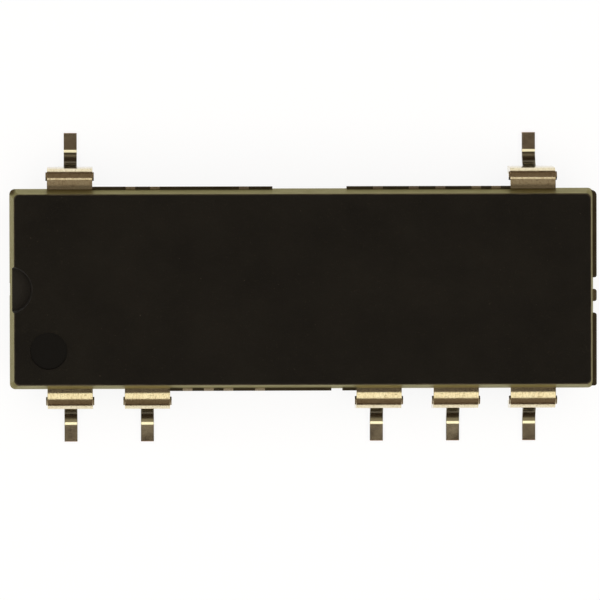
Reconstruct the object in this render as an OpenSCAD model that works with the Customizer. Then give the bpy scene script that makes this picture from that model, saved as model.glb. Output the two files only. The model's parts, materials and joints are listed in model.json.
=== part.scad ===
// Isolated DC-DC converter: a wound toroid, a driver chip and two rectifier chips on a leadframe,
// moulded into a dual-in-line case with seven gull-wing leads.
// Millimetres. +Z is up, and the origin lies on the board plane under the middle of the lead pattern.

/* [Case] */
// Length of the case at its parting line
case_l = 19.2; // [18.4:0.1:21]
// Width of the case at its parting line
case_w = 6.58; // [6.2:0.02:7.6]
// Thickness of the case
case_h = 3.3; // [2.8:0.1:4.2]
// Draft of the case's walls, in degrees
case_draft = 6; // [3:0.2:9]
// Radius of the case's upright corners
case_corner_r = 0.18; // [0.1:0.02:0.5]
// Radius along the rims of the top and bottom faces
case_rim_r = 0.06; // [0.03:0.01:0.12]
// Gap between the board and the underside of the case
stand_off = 1; // [0.1:0.05:1.6]

/* [Case marks] */
// Radius of the half-round notch in the end by the first lead
notch_r = 0.78; // [0.5:0.02:1]
// Depth of the end notch below the top face
notch_depth = 0.7; // [0.3:0.05:1]
// Diameter of the round mark beside the first lead
dot_d = 1.22; // [0.8:0.02:1.4]
// Depth of the round mark
dot_depth = 0.1; // [0.05:0.01:0.2]
// Distance of the round mark's centre from the case's end and side
dot_inset = 1.3; // [1.1:0.02:1.6]
// Diameter of the two ejector marks on the underside
ejector_d = 1.5; // [1:0.1:2]
// Depth of the ejector marks
ejector_depth = 0.06; // [0.03:0.01:0.12]
// Distance of each ejector mark's centre from the case's end
ejector_inset = 3.2; // [2:0.1:4]

/* [Mould flash] */
// Reach of the flash past the case's long sides
flash_reach = 0.07; // [0.04:0.01:0.15]
// Reach of the flash past the case's plain end
end_flash_reach = 0.11; // [0.05:0.01:0.2]
// Radius on the trimmed corners of the end flash and of the tie bar beside it
flash_corner_r = 0.08; // [0.04:0.01:0.12]
// Slot that the trimming punch leaves on each side of the end tie bar
punch_slot_w = 0.38; // [0.2:0.02:0.5]
// Depth of the pocket where the tie bar at the notched end is cut short
tie_recess = 0.05; // [0.02:0.01:0.15]

/* [Leads] */
// Distance between neighbouring lead positions
pitch = 2.54; // [2.5:0.01:2.6]
// Thickness of the leadframe's metal
lead_t = 0.25; // [0.2:0.01:0.3]
// Width of a lead's shoulder and leg
shoulder_w = 1.49; // [1.3:0.01:1.7]
// Width of a lead's tail and foot
tail_w = 0.43; // [0.35:0.01:0.6]
// Height above the board at which the wide leg narrows to the tail
tail_h = 1; // [0.8:0.05:1.2]
// Fillet where the tail leaves the wide leg
tail_fillet_r = 0.15; // [0.05:0.01:0.25]
// Flat length of the shoulder outside the case
shoulder_flat = 0.1; // [0.06:0.01:0.4]
// Inside radius of the shoulder's bend
shoulder_bend_r = 0.33; // [0.15:0.01:0.4]
// Inside radius of the bend above the foot
foot_bend_r = 0.58; // [0.3:0.01:0.7]
// Lean of the leg out of the vertical, in degrees
leg_lean = 2; // [0:1:15]
// Length of the flat foot
foot_l = 0.53; // [0.4:0.01:1]
// Stub of the cut dam bar on each side of the shoulder
dam_reach = 0.05; // [0.02:0.01:0.1]
// Width of the cut dam bar along the lead
dam_w = 0.2; // [0.12:0.01:0.25]

/* [Leadframe inside the case] */
// Depth to which the full shoulder runs into the case
root_l = 0.5; // [0.3:0.05:0.8]
// Width of a lead's inner finger
finger_w = 0.7; // [0.5:0.05:0.9]
// Depth of a finger's tip from the case's side
finger_l = 2.2; // [1.8:0.05:2.4]
// Width of a bond post
post_w = 0.44; // [0.36:0.02:0.5]
// Depth of a bond post's tip from the case's side
post_l = 1.3; // [1.1:0.05:1.5]
// Width of the cut tie bars along the sides
tie_w = 0.32; // [0.2:0.02:0.4]
// Depth of the narrow tie bar before it widens into a post
tie_l = 0.5; // [0.3:0.05:0.7]
// Width of the two end tie bars
end_tie_w = 0.4; // [0.3:0.05:0.6]
// Sideways place of the tie bar at the plain end
end_tie_y = -0.24; // [-0.4:0.02:0.4]
// Length of the driver chip's pad
driver_pad_l = 3.4; // [3:0.1:4]
// Width of the driver chip's pad
driver_pad_w = 2.6; // [2.2:0.1:3]
// Length of the rectifier chips' pad
rectifier_pad_l = 3; // [2.6:0.1:3.3]
// Width of the rectifier chips' pad
rectifier_pad_w = 2.2; // [1.6:0.1:2.6]

/* [Transformer] */
// Place of the toroid's axis along the case
core_x = 0.3; // [0.2:0.05:0.4]
// Outside diameter of the ferrite core
core_od = 4.4; // [4:0.1:4.6]
// Inside diameter of the ferrite core
core_id = 2.3; // [2.2:0.1:2.8]
// Height of the ferrite core
core_h = 1.4; // [1:0.1:1.8]
// Thickness of the winding wire over its enamel
wire_w = 0.1; // [0.08:0.01:0.11]
// Turns of the primary winding, an even number
primary_turns = 8; // [4:2:10]
// Turns of each secondary winding
secondary_turns = 7; // [4:1:7]
// Clear space between the wound core and the leadframe's metal
core_clear = 0.35; // [0.2:0.05:0.5]
// Clear space between the wound core and the driver chip's pad
driver_pad_clear = 0.9; // [0.5:0.1:1.2]
// Clear space between the wound core and the rectifier chips' pad
rectifier_pad_clear = 1.2; // [0.8:0.1:1.4]

/* [Chips and bond wires] */
// Length of the driver chip
driver_chip_l = 2.2; // [1.6:0.1:2.8]
// Width of the driver chip
driver_chip_w = 1.7; // [1.2:0.1:2]
// Width of each square rectifier chip
rectifier_chip_w = 0.9; // [0.6:0.05:1.1]
// Thickness of the chips
chip_t = 0.28; // [0.15:0.01:0.4]
// Distance between the rectifier chips' centres
rectifier_spacing = 1.4; // [1.2:0.05:1.8]
// Diameter of a bond wire
bond_d = 0.05; // [0.03:0.005:0.07]
// Rise of a bond wire's loop above the line between its ends
bond_rise = 0.3; // [0.2:0.02:0.4]

/* [Hidden] */

FRONT = -1;
BACK = 1;
EXTRA = 0.05; // overrun of a cutting solid past the face that it cuts
WIRE_EXTRA = 0.01; // overrun of the winding wire into the core, which is then cut from it
DAM_SINK = 0.02; // rolled-over depth of the dam bar's sheared faces
DAM_TURN = 50; // place of the dam bar on the shoulder's bend, in degrees above the horizontal
CURVE_FN = 48;
ARC_STEP = 6; // degrees between the points of a rounded outline
CORNER_STEPS = 6;
RIM_STEPS = 4;

PINS = [1, 2, 5, 6, 7, 8, 14];
PINS_PER_SIDE = 7;
MIDDLE_PIN = 4;

// Places along the case, in lead pitches from its middle: bond posts, then cut tie bars of the two pads
POSTS = [
    [-1.48, FRONT], [-1.205, FRONT], [-0.953, FRONT], [-0.543, FRONT],
    [-0.747, BACK], [0.988, BACK], [1.452, BACK], [1.798, BACK]
];
DRIVER_TIES = [-2.213, -1.897];
RECTIFIER_TIES = [2.263, 2.519];
// Stretches of flash, in pitches: two along the back with a bare middle, two along the front round a chip
BACK_FLASH = [[-3, -0.377], [0.583, 3]];
FRONT_FLASH = [[-2, 0.381], [0.525, 1]];

mid_z = stand_off + case_h / 2;
top_z = stand_off + case_h;
frame_top = mid_z + lead_t / 2;
frame_bottom = mid_z - lead_t / 2;
half_l = case_l / 2;
half_w = case_w / 2;

core_r = core_od / 2;
bore_r = core_id / 2;
wound_r = core_r + wire_w;

// Bends of a lead, seen from its side as outward distance and height
shoulder_outer_r = shoulder_bend_r + lead_t;
foot_outer_r = foot_bend_r + lead_t;
shoulder_end = half_w + shoulder_flat;
shoulder_centre = [shoulder_end, frame_bottom - shoulder_bend_r];
leg_top = shoulder_centre + shoulder_outer_r * [cos(leg_lean), sin(leg_lean)];
leg_foot_z = lead_t + foot_bend_r * (1 - sin(leg_lean));
leg_l = (leg_top[1] - leg_foot_z) / cos(leg_lean);
leg_dir = [sin(leg_lean), -cos(leg_lean)];
foot_start = leg_top[0] + leg_l * leg_dir[0] + foot_bend_r * cos(leg_lean);
foot_centre = [foot_start, lead_t + foot_bend_r];
foot_tip = foot_start + foot_l;

driver_pad_x = core_x - wound_r - driver_pad_clear - driver_pad_l / 2;
rectifier_pad_x = core_x + wound_r + rectifier_pad_clear + rectifier_pad_l / 2;
tie_end = half_w + flash_reach;

// Leads count along the front from the notched end, and back along the other side
function pin_side(pin) = pin <= PINS_PER_SIDE ? FRONT : BACK;
function pin_column(pin) = pin_side(pin) == FRONT ? pin : 2 * PINS_PER_SIDE + 1 - pin;
function pin_x(pin) = (pin_column(pin) - MIDDLE_PIN) * pitch;

function arc(centre, r, from, to) =
    let (steps = max(2, ceil(abs(to - from) / ARC_STEP)))
    [for (i = [0 : steps]) let (a = from + (to - from) * i / steps) centre + r * [cos(a), sin(a)]];

// Half of the width that the wound core and its clear space take up at a place along the case
function core_room(x, w) =
    let (reach = wound_r + core_clear, off = max(0, abs(x - core_x) - w / 2))
    off < reach ? sqrt(reach * reach - off * off) : 0;
function tip_depth(x, w, l) = max(half_w - l, core_room(x, w));

function post_x(i) = POSTS[i - 1][0] * pitch;
function post_side(i) = POSTS[i - 1][1];
function post_tip(i) = tip_depth(post_x(i), post_w, post_l);
function finger_tip(pin) = tip_depth(pin_x(pin), finger_w, finger_l);

// Points on top of the leadframe where wires land: near a post's tip, behind it, and on a finger
TIP_LAND = 0.2;
REAR_LAND = 0.55;
function post_land(i, depth) = [post_x(i), post_side(i) * (post_tip(i) + depth), frame_top];
function finger_land(pin, depth) = [pin_x(pin), pin_side(pin) * (finger_tip(pin) + depth), frame_top];

// Points on top of a chip, given as shares of its half length and half width
function on_driver(u, v) = [
    driver_pad_x + u * driver_chip_l / 2, v * driver_chip_w / 2, frame_top + chip_t
];
function rectifier_x(i) = rectifier_pad_x + (i - 1.5) * rectifier_spacing;
function on_rectifier(i) = [rectifier_x(i), 0, frame_top + chip_t];

// Case

function rounded_loop(l, w, r, z) = [
    for (quarter = [0 : 3])
        let (sx = [1, -1, -1, 1][quarter], sy = [1, 1, -1, -1][quarter])
            for (i = [0 : CORNER_STEPS])
                let (a = 90 * (quarter + i / CORNER_STEPS))
                    [sx * (l / 2 - r) + r * cos(a), sy * (w / 2 - r) + r * sin(a), z]
];

// Solid through a stack of loops with equal point counts
module loft(loops) {
    n = len(loops[0]);
    levels = len(loops);
    sides = [
        for (k = [0 : levels - 2], i = [0 : n - 1])
            let (j = (i + 1) % n) [k * n + i, (k + 1) * n + i, (k + 1) * n + j, k * n + j]
    ];
    floor_face = [for (i = [0 : n - 1]) i];
    roof_face = [for (i = [n - 1 : -1 : 0]) (levels - 1) * n + i];
    polyhedron([for (loop = loops) each loop], concat([floor_face], sides, [roof_face]));
}

// Inset and height of the wall above the parting line, ending in the rounded rim
function wall_section() =
    let (
        rim_start = case_h / 2 - case_rim_r * (1 - sin(case_draft)),
        rim_centre = rim_start * tan(case_draft) + case_rim_r * cos(case_draft)
    )
    concat(
        [[0, 0]],
        [
            for (i = [0 : RIM_STEPS])
                let (a = case_draft + (90 - case_draft) * i / RIM_STEPS)
                    [rim_centre - case_rim_r * cos(a), case_h / 2 - case_rim_r * (1 - sin(a))]
        ]
    );

module case_block() {
    section = wall_section();
    last = len(section) - 1;
    lower = [for (i = [last : -1 : 1]) [section[i][0], mid_z - section[i][1]]];
    upper = [for (s = section) [s[0], mid_z + s[1]]];
    loft([
        for (s = concat(lower, upper))
            rounded_loop(case_l - 2 * s[0], case_w - 2 * s[0], case_corner_r, s[1])
    ]);
}

module side_flash(stretch, side) {
    from = stretch[0] * pitch;
    to = stretch[1] * pitch;
    translate([from, side == BACK ? half_w - tie_l : -tie_end, frame_bottom])
        cube([to - from, tie_end - half_w + tie_l, lead_t]);
}

// Flat tab out of the plain end between two places across it, with a radius on each of its corners
module end_tab(from, to, front_r, back_r) {
    inner = half_l - tie_l;
    outer = half_l + end_flash_reach;
    outline = concat(
        [[inner, from]],
        arc([outer - front_r, from + front_r], front_r, -90, 0),
        arc([outer - back_r, to - back_r], back_r, 0, 90),
        [[inner, to]]
    );
    translate([0, 0, frame_bottom])
        linear_extrude(height = lead_t)
            polygon(outline);
}

// Flash along the plain end, punched away on both sides of the tie bar
module end_flash() {
    edge = half_w - flash_reach;
    slot_edge = end_tie_w / 2 + punch_slot_w;
    end_tab(-edge, end_tie_y - slot_edge, flash_corner_r, flash_corner_r);
    end_tab(end_tie_y + slot_edge, edge, flash_corner_r, case_corner_r);
}

module end_notch() {
    floor_r = notch_r - notch_depth * tan(case_draft);
    over_r = notch_r + EXTRA * tan(case_draft);
    translate([-half_l, 0, top_z - notch_depth])
        cylinder(h = notch_depth + EXTRA, r1 = floor_r, r2 = over_r, $fn = CURVE_FN);
}

module round_marks() {
    translate([-half_l + dot_inset, -half_w + dot_inset, top_z - dot_depth])
        cylinder(h = dot_depth + EXTRA, d = dot_d, $fn = CURVE_FN);
    for (way = [-1, 1])
        translate([way * (half_l - ejector_inset), 0, stand_off - EXTRA])
            cylinder(h = ejector_depth + EXTRA, d = ejector_d, $fn = CURVE_FN);
}

module moulded_case() {
    color("#1e1b15")
        difference() {
            union() {
                case_block();
                for (stretch = BACK_FLASH) side_flash(stretch, BACK);
                for (stretch = FRONT_FLASH) side_flash(stretch, FRONT);
                end_flash();
            }
            end_notch();
            round_marks();
            end_tie(-half_l - EXTRA, driver_pad_x, 0);
            for (pin = PINS) lead(pin);
            for (i = [1 : len(POSTS)]) bond_post(i);
            driver_chip();
            for (i = [1, 2]) rectifier_chip(i);
            toroid_core();
            primary_winding();
            for (i = [1, 2]) secondary_winding(i);
            bond_wire_supply();
            bond_wire_sync();
            bond_wire_ground();
            bond_wire_tap();
            bond_wire_drive_1();
            bond_wire_drive_2();
            for (i = [1, 2]) bond_wire_rectifier(i);
        }
}

// Leadframe

// Flat piece of leadframe metal between two corners
module strip(x0, x1, y0, y1) {
    translate([min(x0, x1), min(y0, y1), frame_bottom])
        cube([abs(x1 - x0), abs(y1 - y0), lead_t]);
}

// Side view of a lead, from inside the case to the tip of its foot, as outward distance and height
function lead_profile() = concat(
    [[half_w - root_l, frame_top]],
    arc(shoulder_centre, shoulder_outer_r, 90, leg_lean),
    arc(foot_centre, foot_bend_r, 180 + leg_lean, 270),
    [[foot_tip, lead_t], [foot_tip, 0]],
    arc(foot_centre, foot_outer_r, 270, 180 + leg_lean),
    arc(shoulder_centre, shoulder_bend_r, leg_lean, 90),
    [[half_w - root_l, frame_bottom]]
);

// One edge of a lead seen from its face, from the foot up: narrow tail, fillet, wide leg and shoulder
function lead_edge(side) =
    let (fillet = arc([tail_w / 2 + tail_fillet_r, tail_h - tail_fillet_r], tail_fillet_r, 180, 90))
    concat(
        [[side * tail_w / 2, -EXTRA]],
        [for (p = fillet) [side * p[0], p[1]]],
        [[side * shoulder_w / 2, tail_h], [side * shoulder_w / 2, top_z]]
    );

function reversed(list) = [for (i = [len(list) - 1 : -1 : 0]) list[i]];

// Side view of the cut dam bar, a stretch of the shoulder's bend
function dam_section() =
    let (half = dam_w / (shoulder_outer_r + shoulder_bend_r) * 180 / PI)
    concat(
        arc(shoulder_centre, shoulder_outer_r - DAM_SINK, DAM_TURN - half, DAM_TURN + half),
        arc(shoulder_centre, shoulder_bend_r + DAM_SINK, DAM_TURN + half, DAM_TURN - half)
    );

// Solid of a side view, of a given width along the case
module side_view(outline, w) {
    rotate([90, 0, 90])
        linear_extrude(height = w, center = true)
            polygon(outline);
}

module formed_lead(pin) {
    outline = concat(lead_edge(1), reversed(lead_edge(-1)));
    translate([pin_x(pin), 0, 0])
        mirror([0, pin_side(pin) == FRONT ? 1 : 0, 0])
            union() {
                intersection() {
                    side_view(lead_profile(), 2 * shoulder_w);
                    translate([0, foot_tip + EXTRA, 0])
                        rotate([90, 0, 0])
                            linear_extrude(height = foot_tip)
                                polygon(outline);
                }
                side_view(dam_section(), shoulder_w + 2 * dam_reach);
            }
}

module finger(pin, tip) {
    x = pin_x(pin);
    strip(x - finger_w / 2, x + finger_w / 2, pin_side(pin) * tip, pin_side(pin) * (half_w - root_l / 2));
}

// Tie bar along the case between two places
module end_tie(from, to, y) {
    strip(from, to, y - end_tie_w / 2, y + end_tie_w / 2);
}

// Chip pad on a lead, with the side tie bars that held it in the frame, each on an arm from the pad's middle
module chip_pad(pin, x, l, w, ties) {
    strip(x - l / 2, x + l / 2, -w / 2, w / 2);
    finger(pin, 0);
    for (column = ties) {
        strip(x, column * pitch, 0, tie_w);
        strip(column * pitch - tie_w / 2, column * pitch + tie_w / 2, 0, tie_end);
    }
}

module lead(pin) {
    color("#b9ab8c")
        union() {
            formed_lead(pin);
            if (pin == 2) {
                chip_pad(pin, driver_pad_x, driver_pad_l, driver_pad_w, DRIVER_TIES);
                end_tie(-half_l + tie_recess, driver_pad_x, 0);
            } else if (pin == 6) {
                chip_pad(pin, rectifier_pad_x, rectifier_pad_l, rectifier_pad_w, RECTIFIER_TIES);
                end_tie(rectifier_pad_x, half_l - tie_l / 2, end_tie_y);
                end_tab(end_tie_y - end_tie_w / 2, end_tie_y + end_tie_w / 2,
                    flash_corner_r, flash_corner_r);
            } else {
                finger(pin, finger_tip(pin));
            }
        }
}

module bond_post(i) {
    x = post_x(i);
    side = post_side(i);
    tip = post_tip(i);
    color("#b9ab8c")
        union() {
            strip(x - post_w / 2, x + post_w / 2, side * tip, side * (half_w - tie_l));
            strip(x - tie_w / 2, x + tie_w / 2, side * (tip + TIP_LAND), side * tie_end);
        }
}

// Chips

module chip(centre_x, l, w) {
    translate([centre_x - l / 2, -w / 2, frame_top])
        cube([l, w, chip_t]);
}

module driver_chip() {
    color("#5a5f66") chip(driver_pad_x, driver_chip_l, driver_chip_w);
}

module rectifier_chip(i) {
    color("#6a6f78") chip(rectifier_x(i), rectifier_chip_w, rectifier_chip_w);
}

// Transformer

module ring(inner_r, outer_r, h) {
    rotate_extrude($fn = CURVE_FN)
        translate([inner_r, -h / 2])
            square([outer_r - inner_r, h]);
}

module core_ring() {
    ring(bore_r, core_r, core_h);
}

module toroid_core() {
    color("#3b3a3d")
        translate([core_x, 0, mid_z])
            core_ring();
}

// Bar of wire between two points in plan, with its length carried on past both ends
module wire_bar(from, to, z0, z1, before, after) {
    run = to - from;
    translate([from[0], from[1], z0])
        rotate(atan2(run[1], run[0]))
            translate([-before, -wire_w / 2, 0])
                cube([norm(run) + before + after, wire_w, z1 - z0]);
}

function polar(r, a) = r * [cos(a), sin(a)];

// Helical winding round the core in the core's own frame, from a start angle by turns of a signed step.
// Each turn rises outside the core, crosses its top, drops through its bore and slants back under it.
module turns_of_wire(start, step, turns) {
    inside = bore_r - wire_w / 2;
    outside = core_r + wire_w / 2;
    half_wire = wire_w / 2 + WIRE_EXTRA;
    bottom = -core_h / 2 - wire_w;
    top = core_h / 2 + wire_w;
    tail_bottom = frame_top - mid_z;
    tail_top = tail_bottom + wire_w;
    intersection() {
        difference() {
            ring(bore_r - wire_w, wound_r, core_h + 2 * wire_w);
            core_ring();
        }
        union() {
            for (k = [0 : turns - 1]) {
                a = start + k * step;
                wire_bar(polar(outside, a), polar(outside + EXTRA, a),
                    k == 0 ? tail_bottom : bottom, top, half_wire, 0);
                wire_bar(polar(inside, a), polar(outside, a), top - wire_w - EXTRA, top,
                    half_wire, half_wire);
                wire_bar(polar(inside - EXTRA, a), polar(inside, a), bottom, top, 0, half_wire);
                wire_bar(polar(inside, a), polar(outside, a + step), bottom, bottom + wire_w + EXTRA,
                    0, half_wire);
            }
            end = start + turns * step;
            wire_bar(polar(outside, end), polar(outside + EXTRA, end), bottom, tail_top, half_wire, 0);
        }
    }
}

// Straight tail from the winding at an angle to a landing point
module tail(angle, land) {
    from = [core_x, 0] + polar(core_r + wire_w / 2, angle);
    wire_bar(from, [land[0], land[1]], frame_top, frame_top + wire_w, 0, wire_w);
}

PRIMARY_START = 135;
PRIMARY_STEP = 11;
module primary_winding() {
    color("#b5622f")
        union() {
            translate([core_x, 0, mid_z]) turns_of_wire(PRIMARY_START, PRIMARY_STEP, primary_turns);
            tail(PRIMARY_START, post_land(5, TIP_LAND));
            tail(PRIMARY_START + primary_turns / 2 * PRIMARY_STEP, post_land(2, TIP_LAND));
            tail(PRIMARY_START + primary_turns * PRIMARY_STEP, post_land(4, TIP_LAND));
        }
}

SECONDARY_START = 52;
SECONDARY_STEP = -15;
module secondary_winding(i) {
    start = SECONDARY_START + (i - 1) * SECONDARY_STEP / 2;
    land = finger_land(5, i == 1 ? TIP_LAND : REAR_LAND);
    color("#c0743c")
        union() {
            translate([core_x, 0, mid_z]) turns_of_wire(start, SECONDARY_STEP, secondary_turns);
            tail(start, post_land(5 + i, TIP_LAND));
            tail(start + secondary_turns * SECONDARY_STEP, land);
        }
}

// Bond wires

// Looped wire from a chip's top to the leadframe, trimmed flush with both faces
module bond_wire(from, to) {
    run = to - from;
    chord = norm(run);
    r = (chord * chord / 4 + bond_rise * bond_rise) / (2 * bond_rise);
    half_turn = asin(chord / (2 * r));
    overrun = 3 * bond_d / r * 180 / PI;
    sweep = (bond_rise > chord / 2 ? 180 - half_turn : half_turn) + overrun;
    trim = 6 * bond_d;
    color("#d9b24a")
        difference() {
            translate((from + to) / 2)
                rotate([0, -asin(run[2] / chord), atan2(run[1], run[0])])
                    translate([0, 0, bond_rise - r])
                        rotate([90, 0, 0])
                            rotate(90 - sweep)
                                rotate_extrude(angle = 2 * sweep, $fn = CURVE_FN)
                                    translate([r, 0])
                                        circle(d = bond_d, $fn = CURVE_FN);
            for (end = [from, to])
                translate([end[0] - trim, end[1] - trim, end[2] - trim])
                    cube([2 * trim, 2 * trim, trim]);
        }
}

module bond_wire_supply() {
    bond_wire(on_driver(-0.8, -0.8), finger_land(1, TIP_LAND));
}

module bond_wire_sync() {
    bond_wire(on_driver(-0.8, 0.8), finger_land(14, TIP_LAND));
}

module bond_wire_ground() {
    start = on_driver(-0.3, -0.8);
    bond_wire(start, [start[0], -(driver_chip_w + driver_pad_w) / 4, frame_top]);
}

module bond_wire_tap() {
    bond_wire(on_driver(0.4, -0.8), post_land(2, REAR_LAND));
}

module bond_wire_drive_1() {
    bond_wire(on_driver(0.8, 0.7), post_land(5, REAR_LAND));
}

module bond_wire_drive_2() {
    bond_wire(on_driver(0.8, -0.6), post_land(4, REAR_LAND));
}

module bond_wire_rectifier(i) {
    bond_wire(on_rectifier(i), post_land(5 + i, REAR_LAND));
}

moulded_case();
lead(1);  // lead_1
lead(2);  // lead_2
lead(5);  // lead_5
lead(6);  // lead_6
lead(7);  // lead_7
lead(8);  // lead_8
lead(14);  // lead_14
bond_post(1);  // bond_post_1
bond_post(2);  // bond_post_2
bond_post(3);  // bond_post_3
bond_post(4);  // bond_post_4
bond_post(5);  // bond_post_5
bond_post(6);  // bond_post_6
bond_post(7);  // bond_post_7
bond_post(8);  // bond_post_8
driver_chip();
rectifier_chip(1);  // rectifier_chip_1
rectifier_chip(2);  // rectifier_chip_2
toroid_core();
primary_winding();
secondary_winding(1);  // secondary_winding_1
secondary_winding(2);  // secondary_winding_2
bond_wire_supply();
bond_wire_sync();
bond_wire_ground();
bond_wire_tap();
bond_wire_drive_1();
bond_wire_drive_2();
bond_wire_rectifier(1);  // bond_wire_rectifier_1
bond_wire_rectifier(2);  // bond_wire_rectifier_2
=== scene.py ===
"""Finish of a moulded converter module with gull-wing leads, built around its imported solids."""

import json
import math

import bmesh
import bpy
from mathutils import Matrix, Vector


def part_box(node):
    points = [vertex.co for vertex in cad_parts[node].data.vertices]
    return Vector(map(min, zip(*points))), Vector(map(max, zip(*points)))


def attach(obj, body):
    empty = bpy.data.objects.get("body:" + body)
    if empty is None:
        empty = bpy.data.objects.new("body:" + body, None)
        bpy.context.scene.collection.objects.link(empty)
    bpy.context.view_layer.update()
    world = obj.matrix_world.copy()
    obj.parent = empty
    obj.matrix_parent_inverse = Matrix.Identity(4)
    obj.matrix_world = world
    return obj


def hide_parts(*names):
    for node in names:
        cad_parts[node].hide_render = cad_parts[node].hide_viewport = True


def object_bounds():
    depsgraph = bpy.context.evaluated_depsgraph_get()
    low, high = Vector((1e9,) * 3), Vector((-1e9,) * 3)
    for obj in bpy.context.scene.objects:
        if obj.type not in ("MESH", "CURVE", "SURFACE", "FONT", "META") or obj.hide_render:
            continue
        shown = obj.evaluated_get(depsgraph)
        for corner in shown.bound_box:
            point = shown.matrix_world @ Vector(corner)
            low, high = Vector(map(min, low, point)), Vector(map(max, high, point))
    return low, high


MM = 0.001

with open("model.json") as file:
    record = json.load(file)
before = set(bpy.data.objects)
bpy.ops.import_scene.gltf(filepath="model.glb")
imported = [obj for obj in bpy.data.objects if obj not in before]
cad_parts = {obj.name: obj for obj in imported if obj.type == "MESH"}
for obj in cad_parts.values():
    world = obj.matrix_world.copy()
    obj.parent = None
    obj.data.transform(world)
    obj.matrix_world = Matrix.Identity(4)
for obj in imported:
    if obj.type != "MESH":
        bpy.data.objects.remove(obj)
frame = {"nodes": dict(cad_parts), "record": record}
cad_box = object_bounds()
nodes = frame["nodes"]
slot_of = {part["node"]: part["material_slot"] for part in frame["record"]["subparts"]}

# View of the photograph: a near camera above the case, with 600 by 600 pixels
IMAGE_SIZE = 600
PIXELS_PER_MM = 30.4  # at the parting line
CASE_CENTRE_PIXEL = (301.7, 288.4)
CAMERA_HEIGHT = 214 * MM  # above the parting line
LEAN_LEFT = math.radians(1.45)
LEAN_BACK = math.radians(1.35)
ROLL = math.radians(0.12)
SENSOR = 36.0
NEAREST_SHARE = 0.1  # of the camera's distance
FARTHEST_SHARE = 100

# Marks on the case and its leads; a pair is where a mark starts to fade and where it ends
FLASH_ZONE = (0.14 * MM, 0.15 * MM)  # height above the parting line
STAIN_INSET = Vector((0.07, 0.14)) * MM  # middle of the stain, in from the case's corner
STAIN_ZONE = (0.06 * MM, 0.16 * MM)  # distance from its middle
NOTCH_R = 0.8 * MM
NOTCH_DEPTH = 0.7 * MM
MARK_DEPTH = 0.1 * MM
LEAD_T = 0.25 * MM
TAIL_TOP = 1.0 * MM
TAIL_ZONE = (TAIL_TOP, 1.05 * TAIL_TOP)  # height
FOOT_ZONE = (1.2 * LEAD_T, 1.3 * LEAD_T)  # height
TIP_DEPTH = 0.02 * MM  # depth of the bare cut at the end of a foot
ROOT_DARK_REACH = 0.1 * MM  # reach of the darker brown on a lead's root, out from the case
END_STUB = 0.12 * MM  # reach of the cut tie bar and the flash past the plain end
STUB_FADE = 0.1 * END_STUB

# Slopes, as the upward part of a surface's direction; a pair is where a share starts and stops changing
LEVEL = (0.9, 0.95)
WORN_FROM = (0.35, 0.5)
WORN_TO = (0.9, 0.96)
LEVEL_FOOT = (0.9975, 0.9985)
CREASE_FROM = (0.977, 0.983)
WALL_SLOPE = 0.3  # a face of the case counts as wall while its direction rises less than this

# Edges
EDGE_ROUND = 0.012 * MM
EDGE_STEPS = 2
EDGE_ANGLE = math.radians(34)
FLAT_ANGLE = math.radians(0.5)
FLAT_WEIGHT = 100
SKIN_DEPTH = 0.15 * MM  # how far below the convex outline a point still counts as outside
MERGE = 0.0001 * MM

# Gloss and texture of the moulded case
RESIN_IOR = 1.5
RESIN_GLOSS = 0.2
WALL_GLOSS = 0.5
MOULD_GRAIN = 0.06 * MM
MOULD_SMEAR = 0.5 * MM
NOISE_SPAN = (0.3, 0.7)  # values that noise mostly keeps to
NOISE_ROUGHNESS = 0.6

# Colours of the case
RESIN_DARK = (0.0034, 0.0027, 0.0018)
RESIN_PALE = (0.0056, 0.0045, 0.003)
RESIN_GRAIN = (0.022, 0.019, 0.0135)
RESIN_SPECK = (0.06, 0.052, 0.036)
RESIN_WORN = (0.05, 0.038, 0.024)
FLASH_DARK = (0.022, 0.015, 0.006)
FLASH_PALE = (0.04, 0.029, 0.014)
WALL_DARK = (0.005, 0.0042, 0.003)
WALL_PALE = (0.014, 0.012, 0.0085)
WALL_STAIN = (0.035, 0.013, 0.008)
WALL_MIRROR = (0.92, 0.8, 0.2, 1)

# Colours of the leads
TIN_DARK = (0.79, 0.69, 0.465)
TIN_PALE = (0.86, 0.78, 0.55)
TIN_STREAK = (0.58, 0.46, 0.28)
TIN_GRAIN = (0.5, 0.39, 0.22)
TIN_SCUFF = (0.42, 0.33, 0.19)
# Painted highlight in the crease above the foot
CREASE_HIGHLIGHT_COLOUR = (0.98, 0.93, 0.66)
# Painted dark reflection on the tail: its colours low and high up, and how much it covers the tin
TAIL_REFLECTION_LOW = (0.16, 0.137, 0.088)
TAIL_REFLECTION_HIGH = (0.138, 0.115, 0.075)
TAIL_REFLECTION_COVER = 0.96
# Painted darker grey reflection on the flat of the foot
FOOT_REFLECTION_DARK = (0.33, 0.275, 0.2)
FOOT_REFLECTION_PALE = (0.43, 0.37, 0.275)
CUT_DARK = (0.5, 0.27, 0.15)
CUT_PALE = (0.72, 0.46, 0.3)
STUB_COLOUR = (0.13, 0.1, 0.06)
# Darker brown on the root of a lead, next to the case
ROOT_DARK_COLOUR = (0.22, 0.18, 0.12)

# Stage
FLOOR_HALF = 3.0
FLOOR_DROP = 0.001 * MM
FLOOR_PAINT = (0.9, 0.9, 0.9, 1)
FLOOR_LIT = 0.88  # share of plain white where the floor is seen or mirrored
CARD_REACH = 12.4 * MM
CARD_TOP = 3.2 * MM
CARD_HALF = 60 * MM
CARD_PAINT = (0.12, 0.085, 0.06, 1)
ROOM_LOW = (0.18, 0.135, 0.1)
ROOM_SIDE = (0.15, 0.113, 0.082)
ROOM_TOP = (0.275, 0.23, 0.184)
ROOM_GAP = (0.06, 0.048, 0.038)

# Places taken from the frame
case_low, case_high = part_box("moulded_case")
top_z = case_high.z
parting_z = (case_low.z + case_high.z) / 2
foot_reach = cad_box[1][1]
case_end = case_low.x
stained_corner = (case_low.x + STAIN_INSET.x, -case_low.y - STAIN_INSET.y)


# Node helpers

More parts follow.
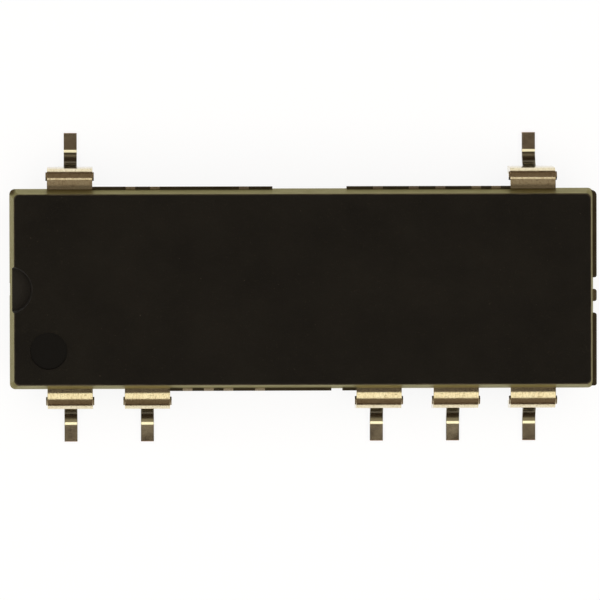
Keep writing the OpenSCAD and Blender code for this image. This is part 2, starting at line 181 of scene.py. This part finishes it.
def add(tree, kind, inputs=None, **settings):
    """New shader node with its settings and inputs; a socket as an input is linked."""
    node = tree.nodes.new(kind)
    for name, value in settings.items():
        setattr(node, name, value)
    for name, value in (inputs or {}).items():
        if isinstance(value, bpy.types.NodeSocket):
            tree.links.new(value, node.inputs[name])
        else:
            node.inputs[name].default_value = value
    return node


def new_material(name, **sockets):
    """New material with its Principled shader's sockets set."""
    material = bpy.data.materials.new(name)
    material.use_nodes = True
    tree = material.node_tree
    shader = tree.nodes["Principled BSDF"]
    for socket, value in sockets.items():
        shader.inputs[socket.replace("_", " ")].default_value = value
    return material, tree, shader


def place(tree):
    """Place on the object, in metres."""
    return add(tree, "ShaderNodeTexCoord").outputs["Object"]


def axis(tree, vector, name):
    """One part of a vector."""
    return add(tree, "ShaderNodeSeparateXYZ", {"Vector": vector}).outputs[name]


def facing_up(tree):
    """Upward part of the surface's own direction."""
    return axis(tree, add(tree, "ShaderNodeTexCoord").outputs["Normal"], "Z")


def plan_distance(tree, where, centre):
    """Distance from an upright line through a place in plan."""
    flat = add(tree, "ShaderNodeVectorMath", {0: where, 1: (1, 1, 0)}, operation="MULTIPLY")
    inputs = {0: flat.outputs["Vector"], 1: (*centre, 0)}
    return add(tree, "ShaderNodeVectorMath", inputs, operation="DISTANCE").outputs["Value"]


def sum_of(tree, operation, first, second=0.0):
    """Result of a sum on one or two values."""
    return add(tree, "ShaderNodeMath", {0: first, 1: second}, operation=operation).outputs[0]


def both_of(tree, first, second):
    """Share that is high only where both shares are."""
    return sum_of(tree, "MULTIPLY", first, second)


def noise(tree, where, size, stretch=(1, 1, 1), detail=3.0):
    """Noise from 0 to 1 whose features have about the given size in metres."""
    mapped = add(tree, "ShaderNodeMapping", {"Vector": where, "Scale": stretch})
    made = add(tree, "ShaderNodeTexNoise", {
        "Vector": mapped.outputs["Vector"],
        "Scale": 1 / size,
        "Detail": detail,
        "Roughness": NOISE_ROUGHNESS,
    })
    return made.outputs["Fac"]


def remap(tree, value, low, high, new_low, new_high):
    """Value moved from one range to another and kept inside it."""
    made = add(tree, "ShaderNodeMapRange", {
        "Value": value, "From Min": low, "From Max": high, "To Min": new_low, "To Max": new_high,
    })
    return made.outputs["Result"]


def above(tree, value, low, high, most=1.0):
    """Share that rises from none to the most while a value passes from low to high."""
    return remap(tree, value, low, high, 0, most)


def below(tree, value, low, high, most=1.0):
    """Share that falls from the most to none while a value passes from low to high."""
    return remap(tree, value, low, high, most, 0)


def spread(tree, value, new_low, new_high):
    """Noise moved to another range."""
    return remap(tree, value, *NOISE_SPAN, new_low, new_high)


def ramp(tree, value, stops):
    """Colour by value from stops of (place, colour)."""
    made = add(tree, "ShaderNodeValToRGB", {"Fac": value})
    elements = made.color_ramp.elements
    while len(elements) < len(stops):
        elements.new(0.5)
    for element, (where, colour) in zip(elements, stops):
        element.position = where
        element.color = (*colour, 1)
    return made.outputs["Color"]


def tones(tree, value, first, second, span=NOISE_SPAN):
    """Colour that passes from the first to the second over a span of a value."""
    return ramp(tree, value, list(zip(span, (first, second))))


def mix(tree, share, first, second):
    """Mix of a colour from a socket with a second, from a socket or plain."""
    if not isinstance(second, bpy.types.NodeSocket):
        second = (*second, 1)
    return add(tree, "ShaderNodeMix", {0: share, 6: first, 7: second}, data_type="RGBA").outputs[2]


def blend(tree, share, first, second):
    """Mix of two values."""
    return add(tree, "ShaderNodeMix", {0: share, 2: first, 3: second}, data_type="FLOAT").outputs[0]


def set_surface(tree, shader, colour, roughness, relief, depth, strength):
    """Link a shader's colour, its roughness and a relief of a given depth in metres."""
    bump = add(tree, "ShaderNodeBump", {"Height": relief, "Distance": depth, "Strength": strength})
    tree.links.new(colour, shader.inputs["Base Color"])
    tree.links.new(roughness, shader.inputs["Roughness"])
    tree.links.new(bump.outputs["Normal"], shader.inputs["Normal"])


# Materials

def moulding_compound():
    """Near-black filled epoxy: matt mould texture, thin brown flash and worn rim."""
    material, tree, shader = new_material(
        "moulding_compound_finish", IOR=RESIN_IOR, Specular_IOR_Level=RESIN_GLOSS,
    )
    where = place(tree)
    up = facing_up(tree)
    above_parting = sum_of(tree, "SUBTRACT", axis(tree, where, "Z"), parting_z)
    cloud = noise(tree, where, size=1.6 * MM)
    smears = noise(tree, where, MOULD_SMEAR, detail=4)
    grain = noise(tree, where, MOULD_GRAIN, detail=4)
    specks = noise(tree, where, size=0.11 * MM, detail=1)

    flash = both_of(tree, above(tree, up, *LEVEL), below(tree, above_parting, *FLASH_ZONE))
    rim = both_of(tree, above(tree, up, *WORN_FROM), below(tree, up, *WORN_TO))
    wear = both_of(tree, rim, remap(tree, smears, low=0.35, high=0.6, new_low=0.3, new_high=0.9))

    colour = tones(tree, cloud, RESIN_DARK, RESIN_PALE)
    colour = mix(tree, above(tree, grain, low=0.58, high=0.8, most=0.7), colour, RESIN_GRAIN)
    colour = mix(tree, above(tree, specks, low=0.78, high=0.82, most=0.8), colour, RESIN_SPECK)
    colour = mix(tree, wear, colour, RESIN_WORN)
    colour = mix(tree, flash, colour, tones(tree, smears, FLASH_DARK, FLASH_PALE))

    matt = spread(tree, grain, new_low=0.52, new_high=0.68)
    polished = 0.45
    rough = blend(tree, rim, matt, polished)
    set_surface(tree, shader, colour, rough, grain, depth=0.012 * MM, strength=0.8)
    return material


def moulded_wall():
    """The same epoxy on the smooth drafted walls, which mirror the floor and the leads at a glance.

    The mirror image has a khaki cast. The shader tints glancing reflections on its metallic share alone,
    so the wall has one, with the same near-black base. One corner is stained.
    """
    material, tree, shader = new_material(
        "wall_finish", IOR=RESIN_IOR, Specular_IOR_Level=WALL_GLOSS, Metallic=0.65,
        Specular_Tint=WALL_MIRROR,
    )
    where = place(tree)
    smears = noise(tree, where, MOULD_SMEAR, detail=4)
    grain = noise(tree, where, MOULD_GRAIN, detail=4)
    stain = below(tree, plan_distance(tree, where, stained_corner), *STAIN_ZONE, most=0.85)
    colour = mix(tree, stain, tones(tree, grain, WALL_DARK, WALL_PALE, span=(0.4, 0.7)), WALL_STAIN)
    smooth = spread(tree, smears, new_low=0.32, new_high=0.38)
    matt = 0.8
    rough = blend(tree, stain, smooth, matt)
    set_surface(tree, shader, colour, rough, grain, depth=0.005 * MM, strength=0.8)
    return material


def moulded_recess(name, dark, pale, roughness):
    """The same epoxy where a pin or block of the mould shaped it: even, with a fine grain."""
    material, tree, shader = new_material(name, IOR=RESIN_IOR, Specular_IOR_Level=RESIN_GLOSS)
    grain = noise(tree, place(tree), MOULD_GRAIN, detail=4)
    colour = tones(tree, grain, dark, pale, span=(0.35, 0.7))
    rough = spread(tree, grain, new_low=0.95 * roughness, new_high=1.05 * roughness)
    set_surface(tree, shader, colour, rough, grain, depth=0.004 * MM, strength=0.4)
    return material


def tinned_lead():
    """Satin tin plate with rolling streaks.

    The tail and foot are rougher, and painted dark as a painted reflection; the crease above the foot is a
    matt, pale painted highlight, cut ends show bare metal and the root is darker brown next to the case.
    """
    material, tree, shader = new_material("tinned_lead_finish")
    where = place(tree)
    along, across, height = (axis(tree, where, name) for name in "XYZ")
    reach = sum_of(tree, "ABSOLUTE", across)
    up = facing_up(tree)
    streaks = noise(tree, where, size=0.04 * MM, stretch=(1, 0.25, 0.25))
    grain = noise(tree, where, size=0.035 * MM)
    scuffs = noise(tree, where, size=0.05 * MM, stretch=(0.3, 1, 1), detail=2)
    cloud = noise(tree, where, size=0.35 * MM)
    shear = noise(tree, where, size=0.03 * MM, stretch=(1, 1, 0.15))

    tail = below(tree, height, *TAIL_ZONE)
    climb = above(tree, height, LEAD_T, TAIL_TOP)
    low = below(tree, height, *FOOT_ZONE)
    foot = both_of(tree, low, above(tree, up, *LEVEL_FOOT))
    bend = both_of(tree, low, below(tree, up, *LEVEL_FOOT))
    crease = both_of(tree, bend, above(tree, up, *CREASE_FROM))
    tip = above(tree, reach, foot_reach - TIP_DEPTH, foot_reach - EDGE_ROUND)
    plain_end = case_high.x - END_STUB
    stub = above(tree, along, plain_end, plain_end + STUB_FADE)
    # Darker brown on the upward faces of the root, next to the case, in streaks
    root = below(tree, reach, case_high.y, case_high.y + ROOT_DARK_REACH)
    root_dark = both_of(tree, above(tree, up, *LEVEL), root)
    root_dark = both_of(tree, root_dark, spread(tree, streaks, new_low=0.6, new_high=0.3))

    colour = tones(tree, cloud, TIN_DARK, TIN_PALE)
    colour = mix(tree, above(tree, streaks, low=0.5, high=0.72, most=0.7), colour, TIN_STREAK)
    colour = mix(tree, above(tree, grain, low=0.5, high=0.75, most=0.5), colour, TIN_GRAIN)
    colour = mix(tree, above(tree, scuffs, low=0.6, high=0.68, most=0.6), colour, TIN_SCUFF)
    # Painted dark reflection over the tail, a little darker higher up
    tail_painted_reflection = tones(tree, climb, TAIL_REFLECTION_LOW, TAIL_REFLECTION_HIGH, span=(0.15, 0.35))
    colour = mix(tree, both_of(tree, tail, TAIL_REFLECTION_COVER), colour, tail_painted_reflection)
    # Painted darker reflection on the flat of the foot
    colour = mix(tree, foot, colour, tones(tree, cloud, FOOT_REFLECTION_DARK, FOOT_REFLECTION_PALE))
    # Painted highlight along the crease, pale and nearly matt
    colour = mix(tree, crease, colour, CREASE_HIGHLIGHT_COLOUR)
    colour = mix(tree, tip, colour, tones(tree, shear, CUT_DARK, CUT_PALE, span=(0.35, 0.65)))
    colour = mix(tree, stub, colour, STUB_COLOUR)
    colour = mix(tree, root_dark, colour, ROOT_DARK_COLOUR)

    # The painted highlight in the crease is more matt on the back row than on the front
    crease_highlight_metal = remap(tree, across, low=-MM, high=MM, new_low=0.5, new_high=0.1)
    tree.links.new(blend(tree, crease, 1.0, crease_highlight_metal), shader.inputs["Metallic"])

    satin = spread(tree, streaks, new_low=0.1, new_high=0.2)
    tail_rough = spread(tree, cloud, new_low=0.18, new_high=0.27)
    crease_rough = 0.2
    cut_rough = 0.45
    rough = blend(tree, tail, satin, tail_rough)
    rough = blend(tree, crease, rough, crease_rough)
    rough = blend(tree, sum_of(tree, "MAXIMUM", tip, stub), rough, cut_rough)
    set_surface(tree, shader, colour, rough, grain, depth=0.003 * MM, strength=0.4)
    return material


def leadframe_metal():
    """Bare copper alloy with upright shear marks."""
    material, tree, shader = new_material("leadframe_metal_finish", Metallic=1.0)
    shear = noise(tree, place(tree), size=0.03 * MM, stretch=(1, 1, 0.2))
    colour = tones(tree, shear, first=(0.42, 0.36, 0.27), second=(0.6, 0.52, 0.4), span=(0.35, 0.65))
    rough = spread(tree, shear, new_low=0.3, new_high=0.5)
    set_surface(tree, shader, colour, rough, shear, depth=0.003 * MM, strength=0.6)
    return material


def silicon():
    """Polished silicon with cloudy cells."""
    material, tree, shader = new_material("silicon_finish", Metallic=0.6)
    cells = noise(tree, place(tree), size=0.12 * MM)
    colour = tones(tree, cells, first=(0.1, 0.11, 0.13), second=(0.2, 0.2, 0.21), span=(0.4, 0.6))
    rough = spread(tree, cells, new_low=0.12, new_high=0.3)
    set_surface(tree, shader, colour, rough, cells, depth=0.001 * MM, strength=0.3)
    return material


def ferrite():
    """Sintered ferrite, matt dark grey."""
    material, tree, shader = new_material("ferrite_finish")
    grain = noise(tree, place(tree), size=0.05 * MM, detail=5)
    colour = tones(tree, grain, first=(0.03, 0.029, 0.03), second=(0.09, 0.087, 0.088), span=(0.35, 0.7))
    rough = spread(tree, grain, new_low=0.5, new_high=0.75)
    set_surface(tree, shader, colour, rough, grain, depth=0.01 * MM, strength=0.6)
    return material


def enamelled_wire():
    """Copper under a glossy coat of enamel."""
    material, tree, shader = new_material("enamelled_wire_finish", Metallic=0.8, Coat_Weight=0.6)
    cloud = noise(tree, place(tree), size=0.2 * MM)
    colour = tones(tree, cloud, first=(0.42, 0.14, 0.04), second=(0.62, 0.26, 0.09))
    rough = spread(tree, cloud, new_low=0.2, new_high=0.34)
    set_surface(tree, shader, colour, rough, cloud, depth=0.004 * MM, strength=0.3)
    return material


def bond_wire():
    """Bare gold."""
    material, tree, shader = new_material("bond_wire_finish", Metallic=1.0)
    cloud = noise(tree, place(tree), size=0.08 * MM)
    colour = tones(tree, cloud, first=(0.78, 0.52, 0.15), second=(0.88, 0.66, 0.27))
    rough = spread(tree, cloud, new_low=0.18, new_high=0.3)
    set_surface(tree, shader, colour, rough, cloud, depth=0.001 * MM, strength=0.3)
    return material


FINISHES = {
    "moulding_compound": moulding_compound(),
    "tinned_lead": tinned_lead(),
    "leadframe_metal": leadframe_metal(),
    "silicon": silicon(),
    "ferrite": ferrite(),
    "enamelled_wire": enamelled_wire(),
    "bond_wire": bond_wire(),
}
# The notch's base is painted paler than the top of the case: painted light against the shade in the recess
NOTCH_LIGHTENED_FINISH = moulded_recess(
    "notch_painted_light_finish", dark=(0.012, 0.0104, 0.0085), pale=(0.018, 0.0155, 0.0128), roughness=0.9,
)
MARK_FINISH = moulded_recess(
    "round_mark_finish", dark=(0.0013, 0.001, 0.0008), pale=(0.002, 0.0015, 0.0011), roughness=0.36,
)
WALL_FINISH = moulded_wall()
CASE_FINISHES = [FINISHES["moulding_compound"], NOTCH_LIGHTENED_FINISH, MARK_FINISH, WALL_FINISH]


# Pieces

def at_parting_line(edge):
    """Whether an edge runs along the line where the two mould halves met."""
    return all(abs(vert.co.z - parting_z) < MERGE for vert in edge.verts)


def is_sharp(edge):
    """Whether two faces meet at a sharp angle."""
    return len(edge.link_faces) == 2 and edge.calc_face_angle() > EDGE_ANGLE


def outline_planes(corners):
    """Planes round the convex outline of some corners, each as a point and its outward direction."""
    made = bmesh.new()
    for corner in corners:
        made.verts.new(corner)
    bmesh.ops.convex_hull(made, input=made.verts)
    made.normal_update()
    planes = [(face.verts[0].co.copy(), face.normal.copy()) for face in made.faces]
    made.free()
    return planes


def near_outline(node):
    """Test for corners on the outside of a solid, as against those of the hollows inside it."""
    planes = outline_planes([vert.co for vert in nodes[node].data.vertices])

    def test(corner):
        return min((point - corner).dot(direction) for point, direction in planes) < SKIN_DEPTH

    return test


def everywhere(corner):
    """Test that takes every corner."""
    return True


def nowhere(corner):
    """Test that takes no corner."""
    return False


def clean_mesh(node, shows):
    """Copy of a solid's mesh with merged corners, smooth bends and marked sharp edges.

    Where the test of a corner says that it shows, flat faces are whole and sharp edges are to be rounded.
    """
    mesh = nodes[node].data.copy()
    mesh.name = node + "_skin"
    if "custom_normal" in mesh.attributes:
        mesh.attributes.remove(mesh.attributes["custom_normal"])
    made = bmesh.new()
    made.from_mesh(mesh)
    bmesh.ops.remove_doubles(made, verts=made.verts, dist=MERGE)
    outer = {vert for vert in made.verts if shows(vert.co)}
    outer_edges = [edge for edge in made.edges if outer.issuperset(edge.verts)]
    bmesh.ops.dissolve_limit(made, angle_limit=FLAT_ANGLE, verts=list(outer), edges=outer_edges)
    outer = {vert for vert in outer if vert.is_valid}
    rounded = made.edges.layers.float.new("bevel_weight_edge")
    for face in made.faces:
        face.smooth = True
    for edge in made.edges:
        sharp = is_sharp(edge)
        edge.smooth = not (sharp or at_parting_line(edge))
        edge[rounded] = float(sharp and outer.issuperset(edge.verts))
    made.to_mesh(mesh)
    made.free()
    return mesh


def refined(node, shows):
    """Piece in a solid's place, with its form and finely rounded edges where they show."""
    piece = bpy.data.objects.new(node + "_skin", clean_mesh(node, shows))
    bpy.context.scene.collection.objects.link(piece)
    rounding = piece.modifiers.new("edges", "BEVEL")
    rounding.limit_method = "WEIGHT"
    rounding.width = EDGE_ROUND
    rounding.segments = EDGE_STEPS
    rounding.harden_normals = False
    flats = piece.modifiers.new("flats", "WEIGHTED_NORMAL")
    flats.keep_sharp = True
    flats.weight = FLAT_WEIGHT
    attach(piece, "root")
    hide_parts(node)
    return piece


def dress(piece, *finishes):
    """Give a piece its finishes."""
    piece.data.materials.clear()
    for finish in finishes:
        piece.data.materials.append(finish)


def in_notch(corner):
    """Whether a corner of the case's mesh lies in the end notch."""
    from_middle = corner.xy - Vector((case_end, 0))
    return from_middle.length < NOTCH_R and corner.z > top_z - NOTCH_DEPTH - MERGE


def finish_of(mesh, face):
    """Finish of a face of the case."""
    corners = [mesh.vertices[index].co for index in face.vertices]
    if all(in_notch(corner) for corner in corners):
        return NOTCH_LIGHTENED_FINISH
    if abs(min(corner.z for corner in corners) - (top_z - MARK_DEPTH)) < MERGE:
        return MARK_FINISH
    if abs(face.normal.z) < WALL_SLOPE:
        return WALL_FINISH
    return FINISHES["moulding_compound"]


def moulded_case(name):
    """Case whose end notch, round mark and walls have finishes of their own."""
    case = refined(name, near_outline(name))
    dress(case, *CASE_FINISHES)
    for face in case.data.polygons:
        face.material_index = CASE_FINISHES.index(finish_of(case.data, face))


for name, node in nodes.items():
    finish = FINISHES[slot_of[name]]
    if name == "moulded_case":
        moulded_case(name)
    elif name.startswith("lead_"):
        dress(refined(name, everywhere), finish)
    elif slot_of[name] == "enamelled_wire":
        dress(refined(name, nowhere), finish)
    else:
        node.material_slots[0].material = finish


# Stage

def sheet(name, corners, material):
    """Flat sheet between four corners."""
    mesh = bpy.data.meshes.new(name)
    mesh.from_pydata(corners, [], [(0, 1, 2, 3)])
    mesh.materials.append(material)
    made = bpy.data.objects.new(name, mesh)
    bpy.context.scene.collection.objects.link(made)
    return made


def floor_paper():
    """White paper that is plain white where it is seen or mirrored, under soft shadows."""
    material, tree, shader = new_material("floor_paper", Base_Color=FLOOR_PAINT, Roughness=0.9)
    path = add(tree, "ShaderNodeLightPath")
    seen = sum_of(tree, "MAXIMUM", path.outputs["Is Camera Ray"], path.outputs["Is Glossy Ray"])
    seen = sum_of(tree, "MAXIMUM", seen, path.outputs["Is Transmission Ray"])
    white = add(tree, "ShaderNodeEmission", {"Color": (1, 1, 1, 1), "Strength": 1.0})
    lit = both_of(tree, seen, FLOOR_LIT)
    paper = add(tree, "ShaderNodeMixShader", {0: lit, 1: shader.outputs[0], 2: white.outputs[0]})
    tree.links.new(paper.outputs[0], tree.nodes["Material Output"].inputs["Surface"])
    return material


def floor():
    """Pale floor just under the feet."""
    corners = [(FLOOR_HALF * x, FLOOR_HALF * y, 0) for x, y in ((-1, -1), (1, -1), (1, 1), (-1, 1))]
    made = sheet("floor", corners, floor_paper())
    made.location.z = -FLOOR_DROP


def low_card(name, place_y):
    """Low dark card outside the picture, mirrored by the leads' bends above the near floor."""
    ends = ((-CARD_HALF, 0), (CARD_HALF, 0), (CARD_HALF, CARD_TOP), (-CARD_HALF, CARD_TOP))
    material = new_material(name + "_paper", Base_Color=CARD_PAINT, Roughness=1.0)[0]
    made = sheet(name, [(x, place_y, z) for x, z in ends], material)
    made.visible_camera = False
    made.visible_diffuse = False
    made.visible_shadow = False


def surroundings():
    """Dim warm room, with a dark gap overhead between the camera and the front panel."""
    world = bpy.data.worlds.new("studio")
    bpy.context.scene.world = world
    world.use_nodes = True
    tree = world.node_tree
    direction = add(tree, "ShaderNodeTexCoord").outputs["Generated"]
    height = axis(tree, direction, "Z")
    front = sum_of(tree, "MULTIPLY", axis(tree, direction, "Y"), -1.0)
    room = ramp(tree, height, [(0.0, ROOM_LOW), (0.12, ROOM_SIDE), (0.6, ROOM_SIDE), (0.8, ROOM_TOP)])
    gap = both_of(tree, above(tree, front, low=0.01, high=0.03), below(tree, front, low=0.14, high=0.18))
    gap = both_of(tree, gap, above(tree, height, low=0.93, high=0.96))
    tree.links.new(mix(tree, gap, room, ROOM_GAP), tree.nodes["Background"].inputs["Color"])


def lamp(name, lean, distance, width, height, radiance, colour, glossy=True):
    """Soft panel that leans to the front from straight above and faces the object."""
    light = bpy.data.lights.new(name, "AREA")
    light.shape = "RECTANGLE"
    light.size = width
    light.size_y = height
    light.energy = radiance * math.pi * width * height
    light.color = colour
    made = bpy.data.objects.new(name, light)
    bpy.context.scene.collection.objects.link(made)
    away = Vector((0, -math.tan(lean), 1)).normalized()
    made.location = away * distance
    made.rotation_euler = away.to_track_quat("Z", "Y").to_euler()
    made.visible_camera = False
    made.visible_glossy = glossy


def lamps():
    """Front panel and back strip that the leads mirror, and a fill that nothing mirrors."""
    lamp("front_panel", lean=math.radians(29), distance=0.35, width=0.4, height=0.26, radiance=0.9,
         colour=(0.99, 0.97, 0.83))
    lamp("back_strip", lean=math.radians(-46), distance=0.35, width=0.4, height=0.05, radiance=0.9,
         colour=(1.0, 0.95, 0.85))
    lamp("overhead_fill", lean=0, distance=0.5, width=0.6, height=0.6, radiance=2.8,
         colour=(1.0, 0.97, 0.92), glossy=False)


def camera():
    """Camera of the photograph's view, aimed so that the case lies where it does there."""
    data = bpy.data.cameras.new("camera")
    data.sensor_width = SENSOR
    middle = IMAGE_SIZE / 2
    pixel = MM / PIXELS_PER_MM
    back = Vector((-math.tan(LEAN_LEFT), math.tan(LEAN_BACK), 1))
    distance = CAMERA_HEIGHT * back.length
    data.lens = SENSOR / 2 * distance / (middle * pixel)
    data.clip_start = distance * NEAREST_SHARE
    data.clip_end = distance * FARTHEST_SHARE
    made = bpy.data.objects.new("camera", data)
    bpy.context.scene.collection.objects.link(made)
    aim_x = (middle - CASE_CENTRE_PIXEL[0]) * pixel
    aim_y = (CASE_CENTRE_PIXEL[1] - middle) * pixel
    back.normalize()
    across = Vector((0, 1, 0)).cross(back).normalized()
    turn = Matrix((across, back.cross(across), back)).transposed().to_4x4()
    stand = Matrix.Translation(Vector((aim_x, aim_y, parting_z)) + back * distance)
    made.matrix_world = stand @ turn @ Matrix.Rotation(-ROLL, 4, "Z")
    bpy.context.scene.camera = made


floor()
low_card("front_card", -CARD_REACH)
low_card("back_card", CARD_REACH)
surroundings()
lamps()
camera()
bpy.context.scene.view_settings.view_transform = "Standard"
